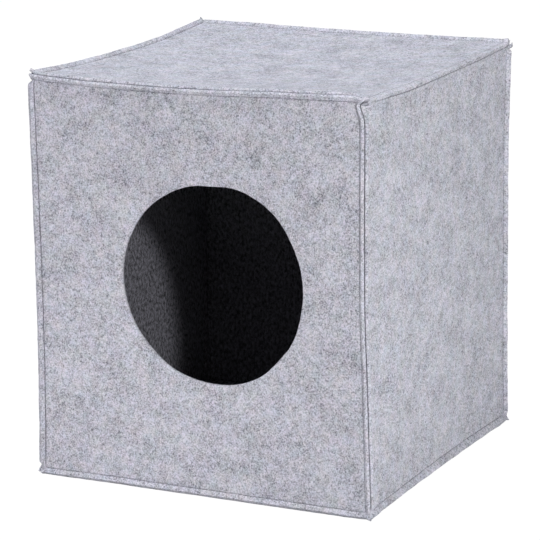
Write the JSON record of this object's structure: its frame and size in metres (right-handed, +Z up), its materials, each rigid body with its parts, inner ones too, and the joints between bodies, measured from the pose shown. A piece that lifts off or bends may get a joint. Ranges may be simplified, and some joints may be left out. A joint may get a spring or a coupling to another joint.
{
  "type": "cat cave bed",
  "caption": "Soft box-shaped pet cave of felt panels sewn along raised edge seams, with a round entrance in the front and a dark lining.",
  "frame": {"origin": "on the ground, under the middle of the box", "axes": "+Z up, the round entrance faces -Y, +X to the right when facing the entrance"},
  "size_m": [0.33, 0.33, 0.37],
  "materials": {
    "felt": "light grey melange needle felt, matt",
    "lining": "near-black non-woven lining, matt",
    "thread": "dark blue-grey sewing thread"
  },
  "bodies": {
    "root": {"back_lining": "lining", "back_panel": "felt", "bottom_lining": "lining", "bottom_panel": "felt", "front_lining": "lining", "front_panel": "felt", "left_lining": "lining", "left_panel": "felt", "right_lining": "lining", "right_panel": "felt", "thread_back_bottom_on_back": "thread", "thread_back_bottom_on_bottom": "thread", "thread_back_left_on_back": "thread", "thread_back_left_on_left": "thread", "thread_back_right_on_back": "thread", "thread_back_right_on_right": "thread", "thread_back_top_on_back": "thread", "thread_back_top_on_top": "thread", "thread_front_bottom_on_bottom": "thread", "thread_front_bottom_on_front": "thread", "thread_front_left_on_front": "thread", "thread_front_left_on_left": "thread", "thread_front_right_on_front": "thread", "thread_front_right_on_right": "thread", "thread_front_top_on_front": "thread", "thread_front_top_on_top": "thread", "thread_left_bottom_on_bottom": "thread", "thread_left_bottom_on_left": "thread", "thread_left_top_on_left": "thread", "thread_left_top_on_top": "thread", "thread_right_bottom_on_bottom": "thread", "thread_right_bottom_on_right": "thread", "thread_right_top_on_right": "thread", "thread_right_top_on_top": "thread", "top_lining": "lining", "top_panel": "felt"}
  },
  "joints": []
}
